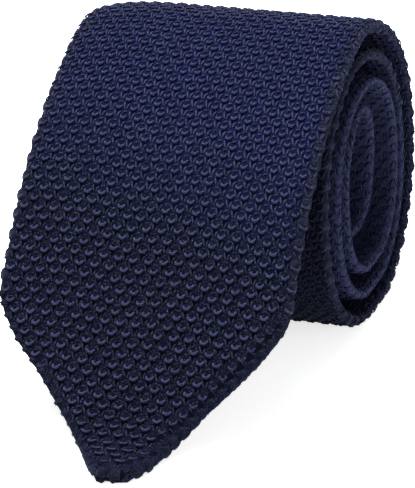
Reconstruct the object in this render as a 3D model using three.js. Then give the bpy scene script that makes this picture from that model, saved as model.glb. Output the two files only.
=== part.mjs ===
import * as THREE from 'three';

// A knitted tie, doubled at its neck and rolled up from there. The wide half is the outer layer of the
// roll, and its pointed end runs down over the front of the roll to the table. The narrow half lies
// between the turns. X runs along the roll, -Y towards the point and +Z up, in millimetres, with the
// origin on the table under the middle of the whole.

// Sizes of the cloth
const bladeWidth = 65;
const bladeThickness = 2.6;
const tailWidth = 50;
const tailThickness = 2.3;
const neckWidth = 46;
const pointLength = 42;
const tailPointLength = 34;

// Sizes of the roll
const rollHeight = 67;
const rollDepth = 60;
const layerGap = 0.75;
const coreRadius = 1.5;
const pressedFlat = 0.65;
const flapReach = 87;
const tailStartAngle = 20;
const seamGap = 0.45;
const neckTuck = 3.5;

// How finely the cloth is divided
const stepAngle = 10;
const flapStep = 4.6;
const foldSteps = 6;

// The rounded edges of a strip: how far in they start, as a share of half its thickness, and the
// point half way round each
const edgeRounding = 1.25;
const edgeShoulder = { inward: 0.3, rise: 0.7 };

// How straight the upright sides of the turns are
const sideStraightness = 2.5;

// Worked out from the sizes above. One turn of the roll holds a layer of each half and two gaps, and
// the turns lie closer together above and below the core than before and behind it, closest below.
const turnSettling = 0.9 * layerGap;
const turnSag = 0.25 * layerGap;
const turnPitch = bladeThickness + tailThickness + 2 * layerGap;
const turnRise = turnPitch - turnSettling;
const floorRise = turnRise - turnSag;
const layerStep = (bladeThickness + tailThickness) / 2 + layerGap;
const outerRadius = (rollDepth - bladeThickness + turnPitch) / 2;
const outerSide = (rollHeight - bladeThickness + pressedFlat - 2 * outerRadius + floorRise / 2) / 2;
const lastAngle = 360 * (outerRadius - layerStep - coreRadius) / turnPitch;
const rollBack = outerRadius - turnPitch / 4 + bladeThickness / 2;
const rollCentreY = (flapReach - rollBack) / 2;
const rollCentreZ = bladeThickness / 2 - pressedFlat + outerRadius + outerSide - floorRise / 2;

// The line of the blade from the crown of the roll to the table, seen from the side: out is a share of
// flapReach and down a share of the height of the crown
const flapLine = [
  { out: 0.00, down: 0.000 },
  { out: 0.07, down: 0.022 },
  { out: 0.15, down: 0.068 },
  { out: 0.26, down: 0.156 },
  { out: 0.36, down: 0.258 },
  { out: 0.45, down: 0.373 },
  { out: 0.53, down: 0.502 },
  { out: 0.61, down: 0.637 },
  { out: 0.69, down: 0.773 },
  { out: 0.77, down: 0.903 },
  { out: 0.83, down: 0.968 },
  { out: 0.90, down: 1.000 },
  { out: 1.00, down: 1.000 },
];

// The outline of the pointed end, whose tip lies a little to the right: along is a share of the
// length of the point from its tip, left and right are shares of half the width
const pointOutline = [
  { along: 0.00, left: -0.04, right: 0.20 },
  { along: 0.03, left: 0.02, right: 0.27 },
  { along: 0.09, left: 0.08, right: 0.31 },
  { along: 0.20, left: 0.17, right: 0.35 },
  { along: 0.35, left: 0.32, right: 0.43 },
  { along: 0.50, left: 0.49, right: 0.55 },
  { along: 0.64, left: 0.65, right: 0.70 },
  { along: 0.78, left: 0.83, right: 0.84 },
  { along: 0.90, left: 0.94, right: 0.94 },
  { along: 1.00, left: 1.00, right: 1.00 },
];

// How far each turn of the roll stands to the right of the first, as a share of the blade's width
const turnDrift = [
  { turn: 0, shift: 0.000 },
  { turn: 1, shift: -0.008 },
  { turn: 2, shift: 0.008 },
  { turn: 3, shift: -0.004 },
  { turn: 4, shift: -0.020 },
  { turn: 5, shift: -0.020 },
];

// The width of the wide half down to the neck: along is a share of the angle of the whole roll
const bladeTaper = [
  { along: 0.00, width: 1.00 },
  { along: 0.68, width: 1.00 },
  { along: 1.00, width: 0.00 },
];

// Reads a column of a table between its rows
function readTable(rows, key, column, value) {
  let row = 1;
  while (row < rows.length - 1 && rows[row][key] < value) {
    row += 1;
  }
  const from = rows[row - 1];
  const to = rows[row];
  const share = THREE.MathUtils.clamp((value - from[key]) / (to[key] - from[key]), 0, 1);
  return THREE.MathUtils.lerp(from[column], to[column], share);
}

// The middle of a layer of the roll at an angle from the crown over the back: inset is how much nearer
// to the core it lies than the wide half's layer at the same angle, and the underside is pressed flat
function rollPoint(angle, inset) {
  const turns = angle / 360;
  const closer = inset * turnSettling / turnPitch;
  const lower = turnSag * (turns + inset / turnPitch);
  const radius = outerRadius - turnPitch * turns - inset;
  const side = outerSide + turnSettling * turns + closer;
  const cosine = Math.cos(THREE.MathUtils.degToRad(angle));
  const sideShare = Math.tanh(sideStraightness * cosine) / Math.tanh(sideStraightness);
  const upright = radius * cosine + side * sideShare - lower;
  const underside = bladeThickness / 2 + (Math.floor(turns) + inset / turnPitch) * floorRise;
  return new THREE.Vector2(
    rollCentreY + radius * Math.sin(THREE.MathUtils.degToRad(angle)),
    Math.max(rollCentreZ + upright, underside),
  );
}

// Half widths to the left and right of the middle line at a distance from the tip of a pointed end
function pointedSides(distance, length, halfWidth) {
  const along = Math.min(distance / length, 1);
  return {
    left: halfWidth * readTable(pointOutline, 'along', 'left', along),
    right: halfWidth * readTable(pointOutline, 'along', 'right', along),
  };
}

// The direction in which both halves run on past the last of the roll, straight down into the core
function aheadOf(inner, outer) {
  return new THREE.Vector2(outer.y - inner.y, inner.x - outer.x).normalize();
}

// The wide half: stations along its middle line, from the tip over the crown and in to the neck
function bladeStations() {
  const crown = rollPoint(0, 0);
  const drop = crown.y - bladeThickness / 2;
  const line = new THREE.SplineCurve(flapLine.map((row) => new THREE.Vector2(
    rollCentreY - flapReach * row.out,
    crown.y - drop * row.down,
  )).reverse());
  const length = line.getLength();
  const distances = pointOutline.map((row) => row.along * pointLength);
  const plainSteps = Math.round((length - pointLength) / flapStep);
  for (let step = 1; step < plainSteps; step += 1) {
    distances.push(pointLength + (length - pointLength) * step / plainSteps);
  }
  const stations = distances.map((distance) => {
    const place = line.getPointAt(distance / length);
    const sides = pointedSides(distance, pointLength, bladeWidth / 2);
    return { y: place.x, z: Math.max(place.y, bladeThickness / 2), ...sides, shift: 0 };
  });
  const steps = Math.ceil(lastAngle / stepAngle);
  for (let step = 0; step <= steps; step += 1) {
    const angle = Math.min(step * stepAngle, lastAngle);
    const place = rollPoint(angle, 0);
    const taper = readTable(bladeTaper, 'along', 'width', angle / lastAngle);
    const halfWidth = THREE.MathUtils.lerp(neckWidth, bladeWidth, taper) / 2;
    const shift = bladeWidth * readTable(turnDrift, 'turn', 'shift', angle / 360);
    stations.push({ y: place.x, z: place.y, left: halfWidth, right: halfWidth, shift });
  }
  const outer = rollPoint(lastAngle, 0);
  const ahead = aheadOf(rollPoint(lastAngle, layerStep), outer);
  const end = outer.addScaledVector(ahead, neckTuck);
  stations.push({ ...stations[stations.length - 1], y: end.x, z: end.y });
  return stations;
}

// The narrow half: from its own point in to the core, and round the fold to the seam at the neck
function tailStations() {
  const stations = [];
  const steps = Math.ceil(lastAngle / stepAngle);
  let distance = 0;
  let before = null;
  for (let step = Math.ceil(tailStartAngle / stepAngle); step <= steps; step += 1) {
    const angle = Math.min(step * stepAngle, lastAngle);
    const place = rollPoint(angle, layerStep);
    distance += before ? place.distanceTo(before) : 0;
    before = place;
    const halfWidth = THREE.MathUtils.lerp(tailWidth, neckWidth, angle / lastAngle) / 2;
    const sides = pointedSides(distance, tailPointLength, halfWidth);
    const shift = bladeWidth * readTable(turnDrift, 'turn', 'shift', angle / 360);
    stations.push({ y: place.x, z: place.y, ...sides, shift });
  }
  const inner = rollPoint(lastAngle, layerStep);
  const outer = rollPoint(lastAngle, 0);
  const across = outer.clone().sub(inner).multiplyScalar(0.5);
  const ahead = aheadOf(inner, outer);
  inner.addScaledVector(ahead, neckTuck);
  outer.addScaledVector(ahead, neckTuck);
  const last = stations[stations.length - 1];
  stations.push({ ...last, y: inner.x, z: inner.y });
  const middle = inner.clone().add(across).addScaledVector(ahead, 2 * seamGap);
  for (let step = 0; step <= foldSteps; step += 1) {
    const turn = Math.PI * step / foldSteps;
    const place = middle.clone()
      .addScaledVector(across, -Math.cos(turn))
      .addScaledVector(ahead, across.length() * Math.sin(turn));
    stations.push({ ...last, y: place.x, z: place.y });
  }
  const seam = outer.clone().addScaledVector(ahead, seamGap);
  stations.push({ ...last, y: seam.x, z: seam.y });
  return stations;
}

// One section of a strip: flat above and below, with rounded edges
function sectionPoints(station, thickness) {
  const half = thickness / 2;
  const inward = half * edgeRounding;
  const left = station.shift - station.left;
  const right = station.shift + station.right;
  const shoulderIn = inward * edgeShoulder.inward;
  const shoulderRise = half * edgeShoulder.rise;
  return [
    { x: right - inward, rise: -half },
    { x: right - shoulderIn, rise: -shoulderRise },
    { x: right, rise: 0 },
    { x: right - shoulderIn, rise: shoulderRise },
    { x: right - inward, rise: half },
    { x: left + inward, rise: half },
    { x: left + shoulderIn, rise: shoulderRise },
    { x: left, rise: 0 },
    { x: left + shoulderIn, rise: -shoulderRise },
    { x: left + inward, rise: -half },
  ];
}

// A closed strip of cloth through its stations
function stripGeometry(stations, thickness) {
  const positions = [];
  const faces = [];
  const sides = sectionPoints(stations[0], thickness).length;
  stations.forEach((station, index) => {
    const before = stations[Math.max(index - 1, 0)];
    const after = stations[Math.min(index + 1, stations.length - 1)];
    const along = new THREE.Vector2(after.y - before.y, after.z - before.z).normalize();
    for (const point of sectionPoints(station, thickness)) {
      positions.push(point.x, station.y - along.y * point.rise, station.z + along.x * point.rise);
    }
  });
  for (let row = 0; row + 1 < stations.length; row += 1) {
    for (let side = 0; side < sides; side += 1) {
      const here = row * sides + side;
      const next = row * sides + (side + 1) % sides;
      faces.push(here, here + sides, next, next, here + sides, next + sides);
    }
  }
  const lastRow = (stations.length - 1) * sides;
  for (let side = 1; side + 1 < sides; side += 1) {
    faces.push(0, side, side + 1);
    faces.push(lastRow, lastRow + side + 1, lastRow + side);
  }
  const geometry = new THREE.BufferGeometry();
  geometry.setAttribute('position', new THREE.Float32BufferAttribute(positions, 3));
  geometry.setIndex(faces);
  geometry.computeVertexNormals();
  return geometry;
}

function knitMaterial(color) {
  return new THREE.MeshStandardMaterial({ color, roughness: 0.92, metalness: 0 });
}

function makeWideBlade() {
  const mesh = new THREE.Mesh(stripGeometry(bladeStations(), bladeThickness), knitMaterial(0x14163a));
  mesh.name = 'wide_blade';
  return mesh;
}

function makeNarrowTail() {
  const mesh = new THREE.Mesh(stripGeometry(tailStations(), tailThickness), knitMaterial(0x10122f));
  mesh.name = 'narrow_tail';
  return mesh;
}

const knitTie = new THREE.Group();
knitTie.name = 'knit_tie';
knitTie.add(makeWideBlade(), makeNarrowTail());

export default knitTie;
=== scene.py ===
import math

import bmesh
import bpy
import numpy as np
from mathutils import Matrix, Vector


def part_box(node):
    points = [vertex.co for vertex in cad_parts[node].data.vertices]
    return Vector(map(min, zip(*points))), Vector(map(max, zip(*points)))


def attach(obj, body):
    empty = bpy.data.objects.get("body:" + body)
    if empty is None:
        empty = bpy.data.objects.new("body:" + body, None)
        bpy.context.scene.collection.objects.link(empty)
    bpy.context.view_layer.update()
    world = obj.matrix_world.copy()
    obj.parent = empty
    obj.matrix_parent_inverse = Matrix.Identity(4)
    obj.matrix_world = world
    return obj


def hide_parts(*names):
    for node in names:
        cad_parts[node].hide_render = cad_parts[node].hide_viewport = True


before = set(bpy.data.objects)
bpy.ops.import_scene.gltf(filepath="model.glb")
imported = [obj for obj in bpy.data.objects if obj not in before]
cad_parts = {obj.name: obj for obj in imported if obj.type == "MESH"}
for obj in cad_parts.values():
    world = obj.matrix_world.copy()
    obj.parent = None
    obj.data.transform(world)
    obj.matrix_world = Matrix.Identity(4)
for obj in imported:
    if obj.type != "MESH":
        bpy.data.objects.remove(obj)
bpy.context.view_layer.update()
mm = 0.001  # lengths below are in millimetres, and meshes in metres
bladeLow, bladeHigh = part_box("wide_blade")
tailLow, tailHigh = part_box("narrow_tail")
print("frame loaded, the tie is", round((bladeHigh.y - bladeLow.y) / mm), "mm long as it lies")
print("its narrow half takes up", round((tailHigh.y - tailLow.y) / mm), "mm of the roll")


# Camera, at the angle of the photograph

cameraView = {
    "azimuth": 22.39,  # degrees, 0 looks along +Y
    "elevation": 25.23,
    "roll": -3.89,
    "place": (272.1, -649.0, 357.1),
    "lens": 267.8,
    "sensor": 36.0,
}


def makeCamera(settings):
    data = bpy.data.cameras.new("studioCamera")
    data.sensor_width = settings["sensor"]
    data.lens = settings["lens"]
    data.clip_start = 0.01
    data.clip_end = 20.0
    camera = bpy.data.objects.new("studioCamera", data)
    bpy.context.scene.collection.objects.link(camera)
    azimuth = math.radians(settings["azimuth"])
    elevation = math.radians(settings["elevation"])
    flat = math.cos(elevation)
    back = Vector((math.sin(azimuth) * flat, -math.cos(azimuth) * flat, math.sin(elevation)))
    right = Vector((math.cos(azimuth), math.sin(azimuth), 0.0))
    up = back.cross(right)
    rolled = Matrix.Rotation(math.radians(settings["roll"]), 3, "Z")
    turned = Matrix((right, up, back)).transposed() @ rolled
    camera.matrix_world = Matrix.Translation(Vector(settings["place"]) * mm) @ turned.to_4x4()
    bpy.context.scene.camera = camera


makeCamera(cameraView)


# The stitch, as strands in shares of its pitch and rise

stitch = {
    "pitch": 3.35,  # across, between stitches of one row
    "rise": 4.36,  # along, between rows of one column; every other row stands half a pitch over
    "cup": {
        "path": (
            (-0.22, 0.08), (-0.195, 0.01), (-0.12, -0.045), (-0.01, -0.065),
            (0.09, -0.045), (0.17, 0.02), (0.22, 0.11),
        ),
        "height": (0.16, 0.40, 0.48, 0.50, 0.48, 0.40, 0.10),
        "radius": 0.285,
        "sides": 6,
        "tone": 0.95,
    },
    "bar": {  # the upper arc of the same purl stitch
        "path": ((-0.17, 0.27), (-0.04, 0.325), (0.11, 0.38)),
        "height": (-0.06, 0.24, -0.02),
        "radius": 0.215,
        "sides": 5,
        "tone": 0.02,
    },
    "legLeft": {
        "path": ((-0.24, -0.14), (-0.18, -0.29), (-0.11, -0.43), (-0.045, -0.57)),
        "height": (-0.08, 0.26, 0.24, -0.10),
        "radius": 0.22,
        "sides": 5,
        "tone": 0.10,
    },
    "legRight": {
        "path": ((0.155, -0.17), (0.12, -0.31), (0.08, -0.45), (0.04, -0.58)),
        "height": (-0.08, 0.28, 0.24, -0.10),
        "radius": 0.22,
        "sides": 5,
        "tone": 0.14,
    },
    "parts": ("cup", "bar", "legLeft", "legRight"),
    "unevenAcross": 0.09,
    "unevenAlong": 0.10,
    "unevenHeight": 0.035,
    "unevenTone": 0.13,
    "unevenMost": 2.0,  # times each of these four
    "tightEnd": 0.18,  # where on half a wave a strand's radius begins and ends
    "fullness": 0.5,
    "sinkBy": 0.12,  # mm that a stitch beside the rim sinks, and
    "sinkTone": 0.8,  # how much darker it is
    "threadTone": 0.8,  # strands darker than this lie between the cups
    "lowBy": 0.22,  # mm that the threads between the cups lie lower near the tip
    "narrowBy": 0.16,  # share by which the cups are narrower towards the crown
    "dimFrom": 28.0,  # mm right of the middle, where the cloth turns away from the light
    "dimOver": 4.0,
    "dimBy": 0.6,
    "brightFrom": 56.0,  # mm from the tip, where the threads between the cups begin to catch the light
    "brightOver": 33.0,
    "brightBy": 0.85,
    "brightTurn": 0.25,  # the change comes lower on the right side
}


# Materials

class Wire:
    # one output of a node, with Python's arithmetic

    def __init__(self, finish, socket):
        self.finish = finish
        self.socket = socket

    def __add__(self, other):
        return self.finish.maths("ADD", self, other)

    def __sub__(self, other):
        return self.finish.maths("SUBTRACT", self, other)

    def __mul__(self, other):
        return self.finish.maths("MULTIPLY", self, other)

    def __truediv__(self, other):
        return self.finish.maths("DIVIDE", self, other)

    def __rsub__(self, other):
        return self.finish.maths("SUBTRACT", other, self)

    def __rtruediv__(self, other):
        return self.finish.maths("DIVIDE", other, self)

    __radd__ = __add__
    __rmul__ = __mul__


class Finish:
    # a material under construction

    def __init__(self, name):
        self.material = bpy.data.materials.new(name)
        self.material.use_nodes = True
        self.tree = self.material.node_tree
        self.tree.nodes.clear()

    def node(self, kind, settings=None, inputs=None, output=0):
        made = self.tree.nodes.new(kind)
        for key, value in (settings or {}).items():
            setattr(made, key, value)
        for key, value in (inputs or {}).items():
            if isinstance(value, Wire):
                self.tree.links.new(value.socket, made.inputs[key])
            else:
                made.inputs[key].default_value = value
        return Wire(self, made.outputs[output] if made.outputs else None)

    def maths(self, operation, first, second):
        return self.node("ShaderNodeMath", {"operation": operation}, {0: first, 1: second})

    def clamped(self, value):
        return self.node("ShaderNodeClamp", None, {"Value": value})

    def mixed(self, share, first, second, blend="MIX"):
        settings = {"data_type": "RGBA", "blend_type": blend}
        return self.node("ShaderNodeMix", settings, {0: share, 6: first, 7: second}, 2)

    def noise(self, place, scale, detail=2.0):
        return self.node("ShaderNodeTexNoise", None, {"Vector": place, "Scale": scale, "Detail": detail})

    def close(self, shader):
        self.node("ShaderNodeOutputMaterial", None, {"Surface": shader})
        return self.material


yarnFinish = {
    "light": (0.0258, 0.0290, 0.0700, 1.0),
    "olive": (0.0027, 0.0043, 0.0088, 1.0),
    "mauve": (0.0031, 0.0035, 0.0130, 1.0),
    "glint": (0.0560, 0.0630, 0.0860, 1.0),
    "glintSize": 4000.0,  # per metre
    "glintFrom": 0.57,  # of the noise
    "glintEdge": 14.0,
    "glintShare": 0.7,
    "roughness": 0.62,
    "dullRoughness": 0.35,  # more where the yarn is dark
    "roughScatter": 0.3,
    "specular": 0.06,
    "gloss": (0.55, 0.60, 1.0, 1.0),
    "sheen": 0.035,
    "sheenTint": (0.4, 0.45, 0.9, 1.0),
    "mottle": 260.0,  # of the dye, per metre
    "mottleDepth": 0.6,
    "tint": 700.0,  # of the change between olive and mauve, per metre
    "tintEdge": 4.0,
    "fibre": 3400.0,  # of the fine fibres, per metre
    "fibreDepth": 0.00010,
    "contrast": 3.6,  # of the fibres' colour
}

rimFinish = {  # of the loops that bind the edges
    **yarnFinish,
    "glint": (0.0200, 0.0240, 0.0360, 1.0),
    "light": (0.0130, 0.0155, 0.0340, 1.0),
    "olive": (0.0030, 0.0038, 0.0070, 1.0),
    "mauve": (0.0034, 0.0036, 0.0095, 1.0),
    "specular": 0.06,
    "sheen": 0.04,
}

endFinish = {  # inside the roll, where the knit shows little of its relief; its darks are raised and its contrast lowered as painted haze of flare light over the roll's end
    **yarnFinish,
    "glint": (0.0140, 0.0165, 0.0450, 1.0),
    "light": (0.0122, 0.0144, 0.0410, 1.0),
    "olive": (0.0094, 0.0112, 0.0245, 1.0),
    "mauve": (0.0098, 0.0108, 0.0285, 1.0),
    "specular": 0.05,
    "sheen": 0.03,
    "contrast": 0.5,
}

shadeFinish = {  # on the front of the roll, behind the blade
    **yarnFinish,
    "glint": (0.0120, 0.0140, 0.0220, 1.0),
    "light": (0.0078, 0.0092, 0.0180, 1.0),
    "olive": (0.0044, 0.0054, 0.0076, 1.0),
    "mauve": (0.0048, 0.0052, 0.0090, 1.0),
    "specular": 0.04,
    "sheen": 0.03,
}

groundFinish = {
    "deep": (0.0006, 0.0013, 0.0075, 1.0),
    "worn": (0.0022, 0.0038, 0.0155, 1.0),
    # the holes between the stitches: a real dip in the bump, and a darker colour that is painted shade
    "hole": (0.0007, 0.0009, 0.0035, 1.0),
    "glint": (0.0420, 0.0490, 0.0700, 1.0),
    "lit": (0.0046, 0.0066, 0.0395, 1.0),  # towards the crown, where the light falls straight on it
    "litUntil": 145.0,  # mm from the tip, behind the crown
    "litOver": 22.0,
    "side": (0.0080, 0.0098, 0.0215, 1.0),  # along both sides of the cloth
    "sideFrom": 30.5,  # mm from the middle
    "sideOver": 1.5,
    "inner": (0.0232, 0.0272, 0.0610, 1.0),  # on the turns inside the roll, lighter as painted haze of flare light over the roll's end
    "innerFrom": 322.0,  # mm from the tip
    "innerOver": 12.0,
    "holeDrop": 0.37,  # how far the holes lie below the cups, as a share of the rise
    "holeSize": 0.10,
    "holeEdge": 1.8,
    "holeDepth": 2.0,
    "roughness": 0.9,
    "sheen": 0.05,
    "sheenTint": (0.20, 0.25, 0.90, 1.0),
    "rib": 0.36,  # width of one fine rib, mm
    "ribSlant": 0.35,
    "ribDepth": 0.0002,
    "ribTone": 0.12,
    "contrast": 2.0,
    "glintFrom": 0.58,
    "glintEdge": 12.0,
    "glintShare": 0.8,
    "fibre": 3800.0,
}


def makeYarn(name, settings):
    finish = Finish(name)
    place = finish.node("ShaderNodeTexCoord", None, None, 3)
    tone = finish.node("ShaderNodeAttribute", {"attribute_name": "tone"}, None, 2)
    mottle = finish.noise(place, settings["mottle"])
    fibre = finish.noise(place, settings["fibre"], 3.0)
    dyed = tone + (mottle - 0.5) * settings["mottleDepth"]
    share = finish.clamped(dyed + (fibre - 0.5) * settings["contrast"])
    tint = finish.clamped((finish.noise(place, settings["tint"]) - 0.5) * settings["tintEdge"] + 0.5)
    dull = finish.mixed(tint, settings["olive"], settings["mauve"])
    speck = finish.noise(place, settings["glintSize"], 1.0)
    glint = finish.clamped((speck - settings["glintFrom"]) * settings["glintEdge"])
    yarn = finish.mixed(share, dull, settings["light"])
    colour = finish.mixed(glint * settings["glintShare"], yarn, settings["glint"])
    rough = (fibre - 0.5) * settings["roughScatter"] + settings["roughness"]
    bump = finish.node("ShaderNodeBump", None, {"Height": fibre, "Distance": settings["fibreDepth"]})
    shader = finish.node("ShaderNodeBsdfPrincipled", None, {
        "Base Color": colour,
        "Roughness": finish.clamped(rough + (1.0 - share) * settings["dullRoughness"]),
        "Specular IOR Level": settings["specular"],
        "Specular Tint": settings["gloss"],
        "Sheen Weight": settings["sheen"],
        "Sheen Roughness": 0.45,
        "Sheen Tint": settings["sheenTint"],
        "Normal": bump,
    })
    return finish.close(shader)


def makeGround(name, settings):
    finish = Finish(name)
    place = finish.node("ShaderNodeTexCoord", None, None, 3)
    flat = finish.node("ShaderNodeUVMap", {"uv_map": "flat"})
    across = finish.node("ShaderNodeSeparateXYZ", None, {0: flat}, 0)
    along = finish.node("ShaderNodeSeparateXYZ", None, {0: flat}, 1)
    turn = 2 * math.pi / settings["rib"]
    ribs = finish.maths("SINE", along * turn + across * (turn * settings["ribSlant"]), 0.0)
    fibre = finish.noise(place, settings["fibre"], 3.0)
    column = finish.maths("COSINE", across * (2 * math.pi / stitch["pitch"]), 0.0)
    row = finish.maths("COSINE", (along / stitch["rise"] + settings["holeDrop"]) * (2 * math.pi), 0.0)
    hole = finish.clamped((column * row + settings["holeSize"]) * settings["holeEdge"])
    height = ribs * 0.5 + fibre - hole * settings["holeDepth"]
    share = finish.clamped(ribs * settings["ribTone"] + (fibre - 0.5) * settings["contrast"] + 0.5)
    worn = finish.mixed(share, settings["deep"], settings["worn"])
    # painted shade in the holes between the stitches
    holed = finish.mixed(hole, worn, settings["hole"])
    towardsCrown = along + across * stitch["brightTurn"] - stitch["brightFrom"]
    bright = finish.clamped(towardsCrown / stitch["brightOver"])
    behind = finish.clamped((settings["litUntil"] - along) / settings["litOver"])
    fromMiddle = finish.maths("ABSOLUTE", across, 0.0)
    atSide = finish.clamped((fromMiddle - settings["sideFrom"]) / settings["sideOver"])
    speck = finish.noise(place, yarnFinish["glintSize"], 1.0)
    glint = finish.clamped((speck - settings["glintFrom"]) * settings["glintEdge"])
    specked = finish.mixed(glint * settings["glintShare"] * (1.0 - hole), holed, settings["glint"])
    lit = finish.mixed(bright * behind, specked, settings["lit"])
    rimmed = finish.mixed(atSide, lit, settings["side"])
    inside = finish.clamped((along - settings["innerFrom"]) / settings["innerOver"])
    # the turns inside the roll take the lighter inner colour, painted haze of flare light
    colour = finish.mixed(inside, rimmed, settings["inner"])
    bump = finish.node("ShaderNodeBump", None, {"Height": height, "Distance": settings["ribDepth"]})
    shader = finish.node("ShaderNodeBsdfPrincipled", None, {
        "Base Color": colour,
        "Roughness": settings["roughness"],
        "Specular IOR Level": 0.05,
        "Sheen Weight": settings["sheen"],
        "Sheen Roughness": 0.4,
        "Sheen Tint": settings["sheenTint"],
        "Normal": bump,
    })
    return finish.close(shader)


navyYarn = makeYarn("navyYarn", yarnFinish)
rimYarn = makeYarn("rimYarn", rimFinish)
endYarn = makeYarn("endYarn", endFinish)
shadeYarn = makeYarn("shadeYarn", shadeFinish)
navyGround = makeGround("navyGround", groundFinish)
# the narrow half lies all inside the roll, so all of its ground takes the painted haze of the inner
# turns
endGround = makeGround("endGround", {**groundFinish, "innerFrom": -20.0})
print("materials made")


# The line of each half of the tie, seen from the side, in the same sizes as its solid

cloth = {
    "bladeWidth": 65.0,
    "bladeThickness": 2.6,
    "tailWidth": 50.0,
    "tailThickness": 2.3,
    "neckWidth": 46.0,
    "pointLength": 42.0,
    "tailPointLength": 34.0,
}

roll = {
    "height": bladeHigh.z / mm,
    "depth": 60.0,
    "layerGap": 0.75,
    "settling": 0.9,  # of the layer gap, by which the sides of each inner turn are longer
    "sag": 0.25,  # of the layer gap, by which each inner turn hangs lower
    "coreRadius": 1.5,
    "pressedFlat": 0.65,
    "flapReach": 87.0,
    "tailStartAngle": 20.0,
    "seamGap": 0.45,
    "neckTuck": 3.5,
    "sideStraightness": 2.5,
    "lineStep": 0.5,  # between the points of a line
}

flapLine = {  # from the crown to the table, as shares of flapReach and of the crown's height
    "out": (0.00, 0.07, 0.15, 0.26, 0.36, 0.45, 0.53, 0.61, 0.69, 0.77, 0.83, 0.90, 1.00),
    "down": (0.000, 0.022, 0.068, 0.156, 0.258, 0.373, 0.502, 0.637, 0.773, 0.903, 0.968, 1.000, 1.000),
}

pointOutline = {  # shares of the point's length, and of half the width to each side
    "along": (0.00, 0.03, 0.09, 0.20, 0.35, 0.50, 0.64, 0.78, 0.90, 1.00),
    "left": (-0.04, 0.02, 0.08, 0.17, 0.32, 0.49, 0.65, 0.83, 0.94, 1.00),
    "right": (0.20, 0.27, 0.31, 0.35, 0.43, 0.55, 0.70, 0.84, 0.94, 1.00),
}

turnDrift = {  # to the right, as a share of the blade's width
    "turn": (0, 1, 2, 3, 4, 5),
    "shift": (0.000, -0.008, 0.008, -0.004, -0.020, -0.020),
}

bladeTaper = {
    "along": (0.00, 0.68, 1.00),
    "width": (1.0, 1.0, 0.0),
}


def readTable(table, key, column, value):
    return np.interp(value, table[key], table[column])


class Roll:
    # the roll's own sizes, and the middle of a layer at an angle from the crown

    def __init__(self, cloth, roll):
        thick = cloth["bladeThickness"]
        both = thick + cloth["tailThickness"]
        self.straightness = roll["sideStraightness"]
        self.half = thick / 2
        self.settling = roll["settling"] * roll["layerGap"]
        self.sag = roll["sag"] * roll["layerGap"]
        self.pitch = both + 2 * roll["layerGap"]
        self.floorRise = self.pitch - self.settling - self.sag
        self.layerStep = both / 2 + roll["layerGap"]
        self.outer = (roll["depth"] - thick + self.pitch) / 2
        rise = roll["height"] - thick + roll["pressedFlat"] - 2 * self.outer + self.floorRise / 2
        self.side = rise / 2
        self.lastAngle = 360 * (self.outer - self.layerStep - roll["coreRadius"]) / self.pitch
        rollBack = self.outer - self.pitch / 4 + thick / 2
        self.centreY = (roll["flapReach"] - rollBack) / 2
        self.centreZ = thick / 2 - roll["pressedFlat"] + self.outer + self.side - self.floorRise / 2

    def place(self, angle, inset):
        turns = angle / 360
        radius = self.outer - self.pitch * turns - inset
        side = self.side + self.settling * (turns + inset / self.pitch)
        cosine = np.cos(np.radians(angle))
        share = np.tanh(self.straightness * cosine) / math.tanh(self.straightness)
        upright = radius * cosine + side * share - self.sag * (turns + inset / self.pitch)
        underside = self.half + (np.floor(turns) + inset / self.pitch) * self.floorRise
        across = self.centreY + radius * np.sin(np.radians(angle))
        return np.column_stack([across, np.maximum(self.centreZ + upright, underside)])


def smoothLine(points, steps):
    pieces = []
    last = len(points) - 1
    share = np.linspace(0, 1, steps, endpoint=False)[:, None]
    for index in range(last):
        before = points[max(index - 1, 0)]
        here = points[index]
        there = points[index + 1]
        after = points[min(index + 2, last)]
        leave = (there - before) / 2
        arrive = (after - here) / 2
        cubic = 2 * here - 2 * there + leave + arrive
        square = -3 * here + 3 * there - 2 * leave - arrive
        pieces.append(cubic * share ** 3 + square * share ** 2 + leave * share + here)
    return np.vstack(pieces + [points[-1:]])


class Line:
    # a line with even points, its upward direction, and the cloth's half widths along it

    def __init__(self, points, angle, step):
        gaps = np.hypot(*np.diff(points, axis=0).T)
        walked = np.concatenate([[0], np.cumsum(gaps)])
        fresh = np.concatenate([[True], gaps > 1e-6])
        points, angle, walked = points[fresh], angle[fresh], walked[fresh]
        self.length = walked[-1]
        self.walked = np.linspace(0, self.length, round(self.length / step) + 1)
        self.y = np.interp(self.walked, walked, points[:, 0])
        self.z = np.interp(self.walked, walked, points[:, 1])
        self.angle = np.interp(self.walked, walked, angle)
        dy = np.gradient(self.y)
        dz = np.gradient(self.z)
        size = np.hypot(dy, dz)
        self.alongY = dy / size
        self.alongZ = dz / size

    def at(self, column, distance):
        return np.interp(distance, self.walked, getattr(self, column))

    def sides(self, halfWidth, pointLength, shift):
        along = np.clip(self.walked / pointLength, 0, 1)
        left = halfWidth * readTable(pointOutline, "along", "left", along)
        right = halfWidth * readTable(pointOutline, "along", "right", along)
        self.half = (left + right) / 2
        self.middle = (right - left) / 2 + shift


shape = Roll(cloth, roll)
neckEnd = shape.place(np.array([shape.lastAngle]), 0)[0]
neckStart = shape.place(np.array([shape.lastAngle]), shape.layerStep)[0]
neckAcross = (neckEnd - neckStart) / 2
neckAhead = np.array([neckAcross[1], -neckAcross[0]]) / np.hypot(*neckAcross)


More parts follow.
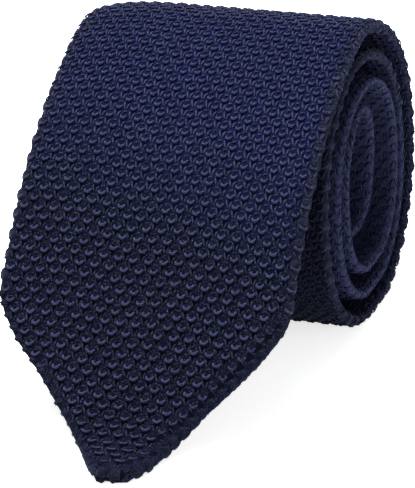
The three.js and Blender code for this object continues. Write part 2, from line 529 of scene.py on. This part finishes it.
def makeBladeLine():
    crown = shape.place(np.array([0.0]), 0)[0]
    drop = crown[1] - shape.half
    out = np.array(flapLine["out"]) * roll["flapReach"]
    down = np.array(flapLine["down"]) * drop
    flap = np.column_stack([shape.centreY - out, crown[1] - down])[::-1]
    flap = smoothLine(flap, 24)
    flap[:, 1] = np.maximum(flap[:, 1], shape.half)
    angle = np.arange(1.0, shape.lastAngle, 1.0)
    rolled = shape.place(angle, 0)
    end = neckEnd + neckAhead * roll["neckTuck"]
    points = np.vstack([flap, rolled, [neckEnd], [end]])
    angles = np.concatenate([np.zeros(len(flap)), angle, [shape.lastAngle, shape.lastAngle]])
    line = Line(points, angles, roll["lineStep"])
    share = readTable(bladeTaper, "along", "width", line.angle / shape.lastAngle)
    halfWidth = (cloth["neckWidth"] + (cloth["bladeWidth"] - cloth["neckWidth"]) * share) / 2
    shift = cloth["bladeWidth"] * readTable(turnDrift, "turn", "shift", line.angle / 360)
    line.sides(halfWidth, cloth["pointLength"], shift)
    line.thickness = cloth["bladeThickness"]
    return line


def makeTailLine():
    angle = np.arange(roll["tailStartAngle"], shape.lastAngle, 1.0)
    rolled = shape.place(angle, shape.layerStep)
    start = neckStart + neckAhead * roll["neckTuck"]
    end = neckEnd + neckAhead * (roll["neckTuck"] + roll["seamGap"])
    middle = start + neckAcross + neckAhead * 2 * roll["seamGap"]
    turn = np.radians(np.arange(0, 181, 15))[:, None]
    reach = np.hypot(*neckAcross)
    fold = middle - neckAcross * np.cos(turn) + neckAhead * reach * np.sin(turn)
    points = np.vstack([rolled, [neckStart], [start], fold, [end]])
    rest = len(points) - len(rolled)
    angles = np.concatenate([angle, np.full(rest, shape.lastAngle)])
    line = Line(points, angles, roll["lineStep"])
    share = line.angle / shape.lastAngle
    halfWidth = (cloth["tailWidth"] + (cloth["neckWidth"] - cloth["tailWidth"]) * share) / 2
    shift = cloth["bladeWidth"] * readTable(turnDrift, "turn", "shift", line.angle / 360)
    line.sides(halfWidth, cloth["tailPointLength"], shift)
    line.thickness = cloth["tailThickness"]
    return line


bladeLine = makeBladeLine()
tailLine = makeTailLine()
crownWalk = float(bladeLine.walked[np.argmax(bladeLine.angle > 0)])
print("wide half", round(bladeLine.length), "mm, narrow half", round(tailLine.length), "mm")


pull = {  # how the rows and columns of the wide half are drawn out of square, mm
    "centre": 10.0,
    "along": (0.0, 20.0, 50.0, 75.0, 95.0, 115.0),
    "width": (1.07, 1.06, 1.01, 0.99, 0.96, 0.95),  # of a stitch
    "across": (-30.0, -16.0, -5.0, 6.5, 18.0, 29.0),
    "bow": (0.0, 0.43, -0.32, 0.10, -0.10, -0.53),  # of the rows
    "longBelow": 60.0,
    "longer": 1.035,
}


def pulled(line, flat):
    # from the even lattice to where the stitches lie on the cloth
    if line is tailLine:
        return flat
    moved = flat.copy()
    width = readTable(pull, "along", "width", flat[:, 1])
    moved[:, 0] = pull["centre"] + (flat[:, 0] - pull["centre"]) * width
    moved[:, 1] += (pull["longer"] - 1) * np.minimum(flat[:, 1] - pull["longBelow"], 0)
    moved[:, 1] += readTable(pull, "across", "bow", moved[:, 0])
    return moved


def evened(line, flat):
    # the way back, from a place on the cloth to the even lattice
    if line is tailLine:
        return flat
    moved = flat.copy()
    moved[:, 1] -= readTable(pull, "across", "bow", flat[:, 0])
    moved[:, 1] -= (1 - 1 / pull["longer"]) * np.minimum(moved[:, 1] - pull["longBelow"], 0)
    width = readTable(pull, "along", "width", moved[:, 1])
    moved[:, 0] = pull["centre"] + (flat[:, 0] - pull["centre"]) / width
    return moved


edgePress = 0.45  # how much flatter the stitches lie round an edge

crownDroop = {  # of the left edge at the crown, where no narrow half holds it up
    "along": (50.0, 78.0, 98.0, 120.0, 142.0, 170.0),
    "share": (0.0, 0.5, 1.0, 1.0, 0.5, 0.0),
    "from": 11.0,  # left of the middle
    "over": 21.0,
    "depth": 2.2,
}


def droopAt(line, along, x):
    if line is tailLine:
        return 0.0
    reach = np.clip((-x - crownDroop["from"]) / crownDroop["over"], 0, 1.1)
    return crownDroop["depth"] * readTable(crownDroop, "along", "share", along) * reach ** 3


def wrapFlat(line, flat, groundShare):
    # lays points of the flat cloth (across, along, height) round the flattened tube and along its line
    along = np.clip(flat[:, 1], 0, line.length)
    thin = line.thickness / 2 * groundShare
    overEnd = np.clip((along - flat[:, 1]) / thin, -math.pi, math.pi)
    half = line.at("half", along)
    across = flat[:, 0] - line.at("middle", along)
    reach = np.abs(across)
    straight = half - line.thickness / 2
    turn = np.clip((reach - straight) / thin, 0, math.pi)
    beyond = np.maximum(reach - straight - math.pi * thin, 0)
    height = flat[:, 2] * (1 - edgePress * np.sin(turn))
    wide = np.minimum(reach, straight) + (line.thickness / 2 + height) * np.sin(turn) - beyond
    high = (thin + height) * np.cos(turn) * np.cos(overEnd)
    past = -(thin + height) * np.sin(overEnd)
    alongY = line.at("alongY", along)
    alongZ = line.at("alongZ", along)
    x = np.sign(across) * wide + line.at("middle", along)
    high = high - droopAt(line, along, x)
    y = line.at("y", along) - alongZ * high + alongY * past
    z = line.at("z", along) + alongY * high + alongZ * past
    return np.column_stack([x, y, np.maximum(z, 0.02)]) * mm


def linkMesh(name, mesh, material):
    mesh.name = name
    piece = bpy.data.objects.new(name, mesh)
    bpy.context.scene.collection.objects.link(piece)
    mesh.materials.clear()
    mesh.materials.append(material)
    mesh.shade_smooth()
    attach(piece, "root")
    return piece


# The ground of the knit, a flattened tube under the stitches

ground = {
    "share": 0.74,  # of the cloth's thickness
    "rowStep": 1.3,
    "flatColumns": 12,  # over half a face
    "edgeColumns": 8,  # round one edge
    "swell": 0.62,  # of the faces that press on each other inside the roll
    "swellWidth": 18.0,  # to each side of the middle
    "swellFade": 4.0,
    "swellShort": 45.0,  # none over this last length, at the neck
    "swellOver": 12.0,
    "coverUnder": 12.0,  # mm behind the crown, from where the under face is hidden
    "coverOuter": 222.0,  # and the outer face
    "coverTail": 6.0,  # mm from the tail's end
}


def makeGroundTube(name, line, settings, material):
    rows = round(line.length / settings["rowStep"])
    quarter = settings["flatColumns"] * 2 + settings["edgeColumns"]
    bm = bmesh.new()
    bmesh.ops.create_grid(bm, x_segments=2 * quarter, y_segments=rows, size=1.0)
    flatLayer = bm.loops.layers.uv.new("flat")
    bm.verts.ensure_lookup_table()
    grid = np.array([vert.co[:2] for vert in bm.verts])
    along = (grid[:, 1] + 1) / 2 * line.length
    half = line.at("half", along)
    thin = line.thickness / 2 * settings["share"]
    straight = np.maximum(half - line.thickness / 2, 0)
    share = settings["flatColumns"] / quarter
    count = np.abs(grid[:, 0])
    onFace = np.minimum(count / share, 1) * straight
    onEdge = np.clip((count - share) / (1 - 2 * share), 0, 1) * math.pi * thin
    onBack = np.clip((count - 1 + share) / share, 0, 1) * straight
    # narrower than its own edges near the tip: the wrap starts at the true straight width
    start = np.where(half < line.thickness / 2, half - line.thickness / 2, 0)
    across = np.sign(grid[:, 0]) * (onFace + onEdge + onBack + start)
    firstCovered = settings["coverTail"]
    if line is bladeLine:
        firstCovered = crownWalk + np.where(count > 0.5, settings["coverUnder"], settings["coverOuter"])
    covered = np.clip((along - firstCovered) / settings["swellOver"], 0, 1)
    covered *= np.clip((line.length - settings["swellShort"] - along) / settings["swellOver"], 0, 1)
    reach = settings["swellWidth"] + settings["swellFade"]
    middle = np.clip((reach - np.abs(onFace - onBack)) / settings["swellFade"], 0, 1)
    swell = settings["swell"] * covered * middle
    flat = np.column_stack([across + line.at("middle", along), along, swell])
    for vert, row in zip(bm.verts, evened(line, flat)):
        for loop in vert.link_loops:
            loop[flatLayer].uv = row[:2]
    wrapped = wrapFlat(line, flat, settings["share"])
    for vert, place in zip(bm.verts, wrapped):
        vert.co = place
    bmesh.ops.remove_doubles(bm, verts=bm.verts, dist=0.00001)
    rims = [edge for edge in bm.edges if edge.is_boundary]
    bmesh.ops.holes_fill(bm, edges=rims, sides=0)
    bmesh.ops.recalc_face_normals(bm, faces=bm.faces)
    mesh = bpy.data.meshes.new(name)
    bm.to_mesh(mesh)
    bm.free()
    return linkMesh(name, mesh, material)


wideBladeGround = makeGroundTube("wideBladeGround", bladeLine, ground, navyGround)
narrowTailGround = makeGroundTube("narrowTailGround", tailLine, ground, endGround)
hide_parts("wide_blade")
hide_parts("narrow_tail")
print("ground laid")


# Stitches

hem = {
    "right": 2.6,  # the band along the right side of the point that has no stitches
    "left": 1.3,
    "tip": 2.6,
    "under": 1.2,  # the same on the under face, round the edge
    "underPoint": 2.5,
    "sunkRight": 5.2,  # stitches nearer to the rim than this lie low
    "sunkLeft": 2.0,
    "sunkTip": 4.2,
    "sunkBy": 0.55,
}

pointRim = {  # the loops that bind the rim of the point
    "pitch": 2.9,
    "step": 0.25,  # between the points of the rim
    "smoothing": 7,  # points to each side, over which its corners are rounded
    "loop": {
        # along the rim, and out over it
        "path": ((-0.90, -1.6), (-0.45, -0.9), (0.0, -0.2), (0.25, 0.6), (0.3, 1.3)),
        "height": (-1.05, -0.60, 0.05, -0.20, -1.05),
        "radius": 1.15,
        "sides": 10,
        "tone": 0.1,
    },
    "inner": {
        "path": ((1.3, -3.3), (1.25, -2.6), (1.1, -1.9)),
        "height": (-0.10, 0.16, -0.10),
        "radius": 0.17,
        "sides": 5,
        "tone": 0.9,
    },
    "outer": {
        "path": ((0.0, -1.5), (-0.1, -0.8), (0.0, -0.1)),
        "height": (0.05, 0.62, 0.95),
        "radius": 0.14,
        "sides": 5,
        "tone": 0.8,
    },
    "parts": ("loop", "inner", "outer"),
    "uneven": 0.12,
    "unevenMost": 0.2,
    "tightEnd": 0.15,
    "fullness": 0.6,
}

sideRim = {  # the loops along the sides of the cloth, one to a row
    **pointRim,
    "pitch": 4.36,
    "loop": {
        "path": ((-0.5, -1.5), (-0.2, -0.7), (0.0, 0.1), (0.2, 0.9), (0.4, 1.7)),
        "height": (-1.20, -0.80, -0.58, -0.80, -1.20),
        "radius": 1.55,
        "sides": 10,
        "tone": 0.35,
    },
    "parts": ("loop",),
}


def rimDistances(line, centres):
    half = line.at("half", centres[:, 1])
    across = centres[:, 0] - line.at("middle", centres[:, 1])
    return half + across, half - across, centres[:, 1] < cloth["pointLength"] + 1


def nearHem(line, centres):
    # how low the stitches beside the rim of the point lie, 0 for the rest
    left, right, pointed = rimDistances(line, centres)
    low = (left < hem["sunkLeft"]) | (right < hem["sunkRight"]) | (centres[:, 1] < hem["sunkTip"])
    return np.where(pointed & low & (line is bladeLine), hem["sunkBy"], 0)


def onFront(line, centres):
    # on the outer face and its edges, short of the rim of the point
    left, right, pointed = rimDistances(line, centres)
    fromLeft = left > np.where(pointed, hem["left"], -0.1)
    fromRight = right > np.where(pointed, hem["right"], -0.1)
    return fromLeft & fromRight & (centres[:, 1] > hem["tip"])


def ringFrame(place, ahead, radius):
    side = ahead.cross(Vector((0, 0, 1))).normalized()
    up = side.cross(ahead)
    turned = Matrix((side * radius, up * radius, ahead)).transposed()
    return Matrix.Translation(place) @ turned.to_4x4()


def addStrand(bm, points, radii, sides):
    points = [Vector(point) for point in points]
    last = len(points) - 1
    frames = []
    for index, point in enumerate(points):
        ahead = (points[min(index + 1, last)] - points[max(index - 1, 0)]).normalized()
        frames.append(ringFrame(point, ahead, radii[index]))
    made = bmesh.ops.create_circle(bm, cap_ends=True, radius=1.0, segments=sides, matrix=frames[0])
    face = made["verts"][0].link_faces[0]
    for index in range(1, last + 1):
        grown = bmesh.ops.extrude_face_region(bm, geom=[face])["geom"]
        if index > 1:
            bmesh.ops.delete(bm, geom=[face], context="FACES_ONLY")
        verts = [item for item in grown if isinstance(item, bmesh.types.BMVert)]
        face = [item for item in grown if isinstance(item, bmesh.types.BMFace)][0]
        step = frames[index] @ frames[index - 1].inverted()
        bmesh.ops.transform(bm, matrix=step, verts=verts)


def addPart(bm, strand, points, settings):
    # a strand that thins out towards its ends, with its tone on its points
    toneLayer = bm.verts.layers.float["tone"]
    before = len(bm.verts)
    tight = settings["tightEnd"]
    swell = np.sin(np.linspace(tight, 1 - tight, len(points)) * math.pi) ** settings["fullness"]
    addStrand(bm, points, strand["radius"] * swell, strand["sides"])
    bm.verts.ensure_lookup_table()
    for index in range(before, len(bm.verts)):
        bm.verts[index][toneLayer] = strand["tone"]


def makeStitchUnit(settings, parts):
    # one stitch and the one that stands half a pitch over in the next row
    bm = bmesh.new()
    bm.verts.layers.float.new("tone")
    for part in parts:
        strand = settings[part]
        points = [
            (across * settings["pitch"], along * settings["rise"], height)
            for (across, along), height in zip(strand["path"], strand["height"])
        ]
        addPart(bm, strand, points, settings)
    bmesh.ops.recalc_face_normals(bm, faces=bm.faces)
    count = len(bm.verts)
    twin = bmesh.ops.duplicate(bm, geom=bm.verts[:] + bm.edges[:] + bm.faces[:])["geom"]
    verts = [item for item in twin if isinstance(item, bmesh.types.BMVert)]
    over = Vector((settings["pitch"] / 2, settings["rise"] / 2, 0))
    bmesh.ops.translate(bm, verts=verts, vec=over)
    mesh = bpy.data.meshes.new("stitchUnit")
    bm.to_mesh(mesh)
    bm.free()
    return mesh, count


def repeatUnit(mesh, corner, counts, settings):
    flat = bpy.data.objects.new("flatPanel", mesh)
    bpy.context.scene.collection.objects.link(flat)
    steps = ((settings["pitch"], 0, 0), (0, settings["rise"], 0))
    for count, step in zip(counts, steps):
        array = flat.modifiers.new("repeat", "ARRAY")
        array.count = count
        array.use_relative_offset = False
        array.use_constant_offset = True
        array.constant_offset_displace = step
    bpy.context.view_layer.update()
    evaluated = flat.evaluated_get(bpy.context.evaluated_depsgraph_get())
    panel = bpy.data.meshes.new_from_object(evaluated)
    bpy.data.objects.remove(flat)
    places = np.zeros(len(panel.vertices) * 3)
    panel.vertices.foreach_get("co", places)
    return panel, places.reshape(-1, 3) + np.array([*corner, 0.0])


def makeStitches(name, line, settings, parts, alongRange, acrossRange, keep, material, seed):
    unit, unitCount = makeStitchUnit(settings, parts)
    pitch = settings["pitch"]
    rise = settings["rise"]
    firstColumn = math.floor(acrossRange[0] / pitch)
    firstRow = math.floor(alongRange[0] / rise)
    columns = math.ceil(acrossRange[1] / pitch) - firstColumn
    rows = math.ceil(alongRange[1] / rise) - firstRow
    panel, flat = repeatUnit(unit, (firstColumn * pitch, firstRow * rise), (columns, rows), settings)
    flat = pulled(line, flat)
    index = np.arange(len(flat)) // unitCount
    total = index[-1] + 1
    centres = np.zeros((total, 2))
    for axis in range(2):
        centres[:, axis] = np.bincount(index, flat[:, axis]) / unitCount
    inside = (centres[:, 0] >= acrossRange[0]) & (centres[:, 0] < acrossRange[1])
    inside &= (centres[:, 1] >= alongRange[0]) & (centres[:, 1] < alongRange[1])
    inside &= keep(line, centres)
    chance = np.random.default_rng(seed)
    uneven = chance.normal(0, 1, (total, 4)).clip(-settings["unevenMost"], settings["unevenMost"])
    flat[:, 0] += uneven[index, 0] * settings["unevenAcross"]
    flat[:, 1] += uneven[index, 1] * settings["unevenAlong"]
    sunk = nearHem(line, centres)[index]
    flat[:, 2] = flat[:, 2] * (1 - sunk) + uneven[index, 2] * settings["unevenHeight"]
    flat[:, 2] -= settings["sinkBy"] * sunk
    tone = np.zeros(len(flat))
    panel.attributes["tone"].data.foreach_get("value", tone)
    between = tone < settings["threadTone"]
    towardsCrown = flat[:, 1] + settings["brightTurn"] * flat[:, 0] - settings["brightFrom"]
    bright = np.clip(towardsCrown / settings["brightOver"], 0, 1)
    flat[:, 2] -= (1 - bright) * settings["lowBy"] * between * (flat[:, 2] > 0)
    flat[:, 0] -= bright * settings["narrowBy"] * ~between * (flat[:, 0] - centres[index, 0])
    places = wrapFlat(line, flat, ground["share"])
    tone += bright * settings["brightBy"] * between + uneven[index, 3] * settings["unevenTone"]
    tone -= settings["sinkTone"] * sunk
    tone -= settings["dimBy"] * np.clip((flat[:, 0] - settings["dimFrom"]) / settings["dimOver"], 0, 1)
    panel.attributes["tone"].data.foreach_set("value", tone)
    panel.vertices.foreach_set("co", places.ravel())
    bm = bmesh.new()
    bm.from_mesh(panel)
    outside = ~inside[index]
    gone = [vert for vert, out in zip(bm.verts, outside) if out]
    bmesh.ops.delete(bm, geom=gone, context="VERTS")
    bm.to_mesh(panel)
    bm.free()
    piece = linkMesh(name, panel, material)
    print(name, int(inside.sum()), "stitches,", len(panel.loops) - 2 * len(panel.polygons), "triangles")
    return piece


def onBack(line, centres):
    # the under face, from the edges in
    half = line.at("half", centres[:, 1])
    across = np.abs(centres[:, 0] - line.at("middle", centres[:, 1]))
    pointed = centres[:, 1] < cloth["pointLength"] + 1
    thin = line.thickness / 2 * ground["share"]
    seam = 2 * half - line.thickness + math.pi * thin
    start = half + np.where(pointed, hem["underPoint"], hem["under"])
    return (across >= start) & (across < seam) & (centres[:, 1] > hem["tip"])


def makePointRim(line):
    # round the point from its left side to its right side, with the direction out of the cloth
    rows = line.walked[line.walked < cloth["pointLength"] + 1]
    half = line.at("half", rows)
    middle = line.at("middle", rows)
    left = np.column_stack([middle - half, rows])[::-1]
    right = np.column_stack([middle + half, rows])
    corners = np.vstack([left, right])
    walked = np.concatenate([[0], np.cumsum(np.hypot(*np.diff(corners, axis=0).T))])
    even = np.arange(0, walked[-1], pointRim["step"])
    rim = np.column_stack([np.interp(even, walked, corners[:, axis]) for axis in range(2)])
    reach = pointRim["smoothing"]
    window = np.hanning(2 * reach + 1) / np.hanning(2 * reach + 1).sum()
    wide = np.pad(rim, ((reach, reach), (0, 0)), "edge")
    rim = np.column_stack([np.convolve(wide[:, axis], window, "valid") for axis in range(2)])
    ahead = np.gradient(rim, axis=0)
    ahead /= np.hypot(*ahead.T)[:, None]
    return even, rim, np.column_stack([ahead[:, 1], -ahead[:, 0]])


def makeSideRim(line, side, first, last):
    even = np.arange(0, last - first, 0.5)
    along = first + even
    across = line.at("middle", along) + side * line.at("half", along)
    outward = np.column_stack([np.full(len(even), float(side)), np.zeros(len(even))])
    return even, np.column_stack([across, along]), outward


def makeRimLoops(name, line, rimPath, settings, material, seed):
    even, rim, outward = rimPath
    bm = bmesh.new()
    bm.verts.layers.float.new("tone")
    for part in settings["parts"]:
        strand = settings[part]
        points = [(along, out, high) for (along, out), high in zip(strand["path"], strand["height"])]
        addPart(bm, strand, points, settings)
    bmesh.ops.recalc_face_normals(bm, faces=bm.faces)
    unitCount = len(bm.verts)
    unit = bpy.data.meshes.new("rimLoop")
    bm.to_mesh(unit)
    bm.free()
    count = int(even[-1] / settings["pitch"])
    steps = {"pitch": settings["pitch"], "rise": 0.0}
    panel, loops = repeatUnit(unit, (settings["pitch"] / 2, 0.0), (count, 1), steps)
    chance = np.random.default_rng(seed)
    index = np.arange(len(loops)) // unitCount
    uneven = chance.normal(0, settings["uneven"], (count, 3))
    uneven = uneven.clip(-settings["unevenMost"], settings["unevenMost"])
    loops += uneven[index]
    flat = np.zeros((len(loops), 3))
    for axis in range(2):
        flat[:, axis] = np.interp(loops[:, 0], even, rim[:, axis])
        flat[:, axis] += loops[:, 1] * np.interp(loops[:, 0], even, outward[:, axis])
    flat[:, 2] = loops[:, 2]
    places = wrapFlat(line, flat, ground["share"])
    panel.vertices.foreach_set("co", places.ravel())
    piece = linkMesh(name, panel, material)
    print(name, count, "loops,", len(panel.loops) - 2 * len(panel.polygons), "triangles")
    return piece


spans = {
    "back": 6.0,  # mm behind the crown, where the stitches of the roll's back begin
    "front": 105.0,  # where those of its front begin, behind the blade
    "shown": 220.0,  # up to here the outer face is in sight
    "loops": 225.0,  # and up to here its sides have loops
    "edge": 5.5,  # how far in from an end of the roll the hidden faces have stitches
    "frontWidth": (-36.0, 36.0),  # the panels of stitches before they are cut to the cloth
    "backWidth": (-70.0, 70.0),
    "innerWidth": (-42.0, 42.0),
    "tailWidth": (-34.0, 34.0),
}


def nearEdge(line, centres):
    # both faces near the edges, and only the inner one where the outer face shows
    half = line.at("half", centres[:, 1])
    across = np.abs(centres[:, 0] - line.at("middle", centres[:, 1]))
    thin = line.thickness / 2 * ground["share"]
    middle = half - line.thickness / 2 + math.pi * thin / 2
    shown = (line is bladeLine) & (centres[:, 1] < crownWalk + spans["shown"])
    start = np.where(shown, half + hem["under"], middle - spans["edge"])
    return (across >= start) & (across < middle + spans["edge"])


def coarser(settings, relief):
    # the same strands with fewer points and sides, for what hardly shows, and lying flatter
    made = dict(settings)
    for part in settings["parts"]:
        strand = dict(settings[part])
        strand["sides"] = 4
        if part == "cup":
            strand["sides"] = 5
            strand["path"] = strand["path"][::2]
            strand["height"] = strand["height"][::2]
        strand["height"] = tuple(height * relief for height in strand["height"])
        made[part] = strand
    return made


fullStitch = stitch["parts"]
plainStitch = ("cup", "legLeft", "legRight")
coarse = coarser(stitch, 1.0)
flatter = coarser(stitch, 0.35)
roundCrown = crownWalk + spans["back"]
behindBlade = crownWalk + spans["front"]
outOfSight = crownWalk + spans["shown"]
bladeFrontStitches = makeStitches(
    "bladeFrontStitches", bladeLine, stitch, fullStitch,
    (0.0, roundCrown), spans["frontWidth"], onFront, navyYarn, 11,
)
rollBackStitches = makeStitches(
    "rollBackStitches", bladeLine, stitch, fullStitch,
    (roundCrown, behindBlade), spans["frontWidth"], onFront, navyYarn, 12,
)
rollFrontStitches = makeStitches(
    "rollFrontStitches", bladeLine, coarse, fullStitch,
    (behindBlade, outOfSight), spans["frontWidth"], onFront, shadeYarn, 13,
)
bladeBackStitches = makeStitches(
    "bladeBackStitches", bladeLine, coarse, plainStitch,
    (0.0, crownWalk), spans["backWidth"], onBack, navyYarn, 14,
)
innerEdgeStitches = makeStitches(
    "innerEdgeStitches", bladeLine, flatter, plainStitch,
    (crownWalk, bladeLine.length - 4), spans["innerWidth"], nearEdge, endYarn, 15,
)
tailEdgeStitches = makeStitches(
    "tailEdgeStitches", tailLine, flatter, plainStitch,
    (0.0, tailLine.length - 8), spans["tailWidth"], nearEdge, endYarn, 16,
)
pointLoops = makeRimLoops("pointLoops", bladeLine, makePointRim(bladeLine), pointRim, rimYarn, 17)
sideSpan = (cloth["pointLength"] + 2, crownWalk + spans["loops"])
leftRim = makeSideRim(bladeLine, -1, *sideSpan)
rightRim = makeSideRim(bladeLine, 1, *sideSpan)
leftLoops = makeRimLoops("leftLoops", bladeLine, leftRim, sideRim, rimYarn, 18)
rightLoops = makeRimLoops("rightLoops", bladeLine, rightRim, sideRim, rimYarn, 19)
print("stitches wrapped")

bladeArea = float(2 * bladeLine.half.mean() * bladeLine.length) * mm * mm
tailArea = float(2 * tailLine.half.mean() * tailLine.length) * mm * mm


# Floor and light

studio = {
    "floorSize": 8.0,
    "floorColour": (0.92, 0.92, 0.92, 1.0),
    "floorGlow": 0.80,
    "skyColour": (1.0, 1.0, 1.0, 1.0),
    "skyStrength": 0.40,
}

lamps = {
    "overhead": {"place": (-120, 20, 850), "aim": (0, 0, 30), "size": 0.45, "power": 17.5},
    "endFill": {"place": (600, -60, 90), "aim": (30, 25, 32), "size": 0.30, "power": 1.9},
}


def makeFloor(settings):
    bm = bmesh.new()
    bmesh.ops.create_grid(bm, x_segments=1, y_segments=1, size=settings["floorSize"] / 2)
    mesh = bpy.data.meshes.new("studioFloor")
    bm.to_mesh(mesh)
    bm.free()
    finish = Finish("paleFloor")
    shader = finish.node("ShaderNodeBsdfPrincipled", None, {
        "Base Color": settings["floorColour"],
        "Roughness": 0.9,
        "Specular IOR Level": 0.1,
        "Emission Color": settings["floorColour"],
        "Emission Strength": settings["floorGlow"],
    })
    mesh.materials.append(finish.close(shader))
    floor = bpy.data.objects.new("studioFloor", mesh)
    bpy.context.scene.collection.objects.link(floor)


def makeLamp(name, settings):
    data = bpy.data.lights.new(name, "AREA")
    data.size = settings["size"]
    data.energy = settings["power"]
    lamp = bpy.data.objects.new(name, data)
    bpy.context.scene.collection.objects.link(lamp)
    place = Vector(settings["place"]) * mm
    aim = Vector(settings["aim"]) * mm
    lamp.location = place
    lamp.rotation_mode = "QUATERNION"
    lamp.rotation_quaternion = (aim - place).to_track_quat("-Z", "Y")


def makeSky(settings):
    bpy.context.scene.view_settings.view_transform = "Standard"
    world = bpy.data.worlds.new("studioSky")
    bpy.context.scene.world = world
    world.use_nodes = True
    background = world.node_tree.nodes["Background"]
    background.inputs["Color"].default_value = settings["skyColour"]
    background.inputs["Strength"].default_value = settings["skyStrength"]


makeFloor(studio)
makeSky(studio)
for name, settings in lamps.items():
    makeLamp(name, settings)
print("studio lit")
